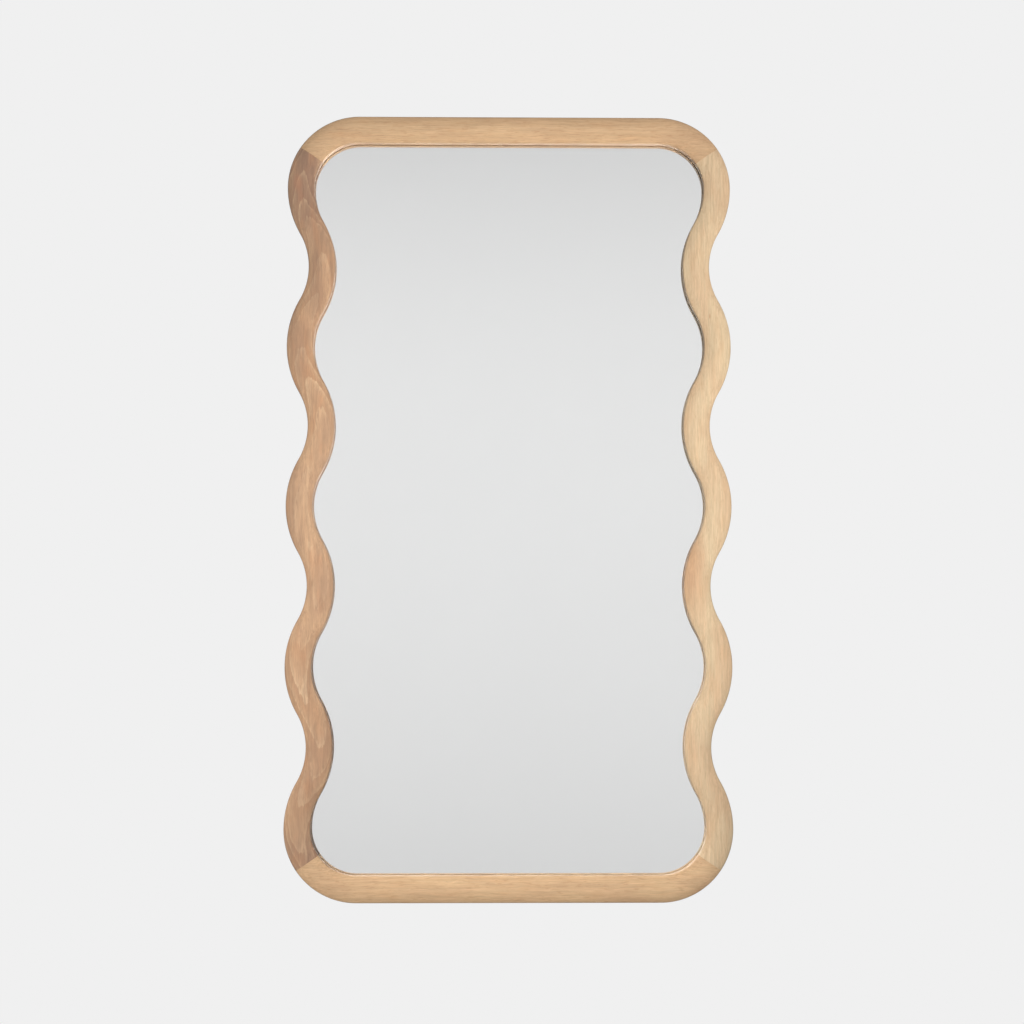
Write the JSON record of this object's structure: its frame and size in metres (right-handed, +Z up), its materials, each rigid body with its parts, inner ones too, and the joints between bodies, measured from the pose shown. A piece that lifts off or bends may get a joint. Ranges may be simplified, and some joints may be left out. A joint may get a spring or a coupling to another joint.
{
  "type": "wall mirror",
  "caption": "Tall vanity mirror in a solid wood frame with wavy sides, rounded corners and a soft crown, hung by D rings on its back",
  "frame": {"origin": "middle of the wall plane, on which the four bumpers rest, at half the mirror's width and height", "axes": "+X to the viewer's right, +Y into the wall, +Z up; the glass faces -Y"},
  "size_m": [0.61, 0.0319, 1.076],
  "materials": {
    "oak": "clear matt lacquer over open-grained oak",
    "dowel": "plain beech, glued in",
    "mirror_glass": "clear glass, silvered and painted on its back",
    "cushion": "soft black foam strip",
    "backing": "smooth brown hardboard",
    "screw_steel": "zinc-plated",
    "setting_rubber": "plain black rubber",
    "hanger_steel": "zinc-plated sheet",
    "ring_steel": "zinc-plated wire",
    "bumper_rubber": "grey rubber"
  },
  "bodies": {
    "frame": {"top_rail": "oak", "bottom_rail": "oak", "left_stile": "oak", "right_stile": "oak", "top_left_dowels": "dowel", "top_right_dowels": "dowel", "bottom_left_dowels": "dowel", "bottom_right_dowels": "dowel", "mirror_glass": "mirror_glass", "cushion_strip": "cushion", "backing_board": "backing", "backing_screws": "screw_steel", "left_setting_block": "setting_rubber", "right_setting_block": "setting_rubber", "left_hanger_strap": "hanger_steel", "right_hanger_strap": "hanger_steel", "hanger_screws": "screw_steel", "top_left_bumper": "bumper_rubber", "top_right_bumper": "bumper_rubber", "bottom_left_bumper": "bumper_rubber", "bottom_right_bumper": "bumper_rubber"},
    "left_ring": {"left_hanger_ring": "ring_steel"},
    "right_ring": {"right_hanger_ring": "ring_steel"}
  },
  "joints": [
    {"name": "left_ring_swing", "type": "hinge", "parent": "frame", "child": "left_ring", "pos_m": [-0.2935, -0.00355, 0.2415], "axis": [1, 0, 0], "range_deg": [0, 180]},
    {"name": "right_ring_swing", "type": "hinge", "parent": "frame", "child": "right_ring", "pos_m": [0.2935, -0.00355, 0.2415], "axis": [1, 0, 0], "range_deg": [0, 180]}
  ]
}
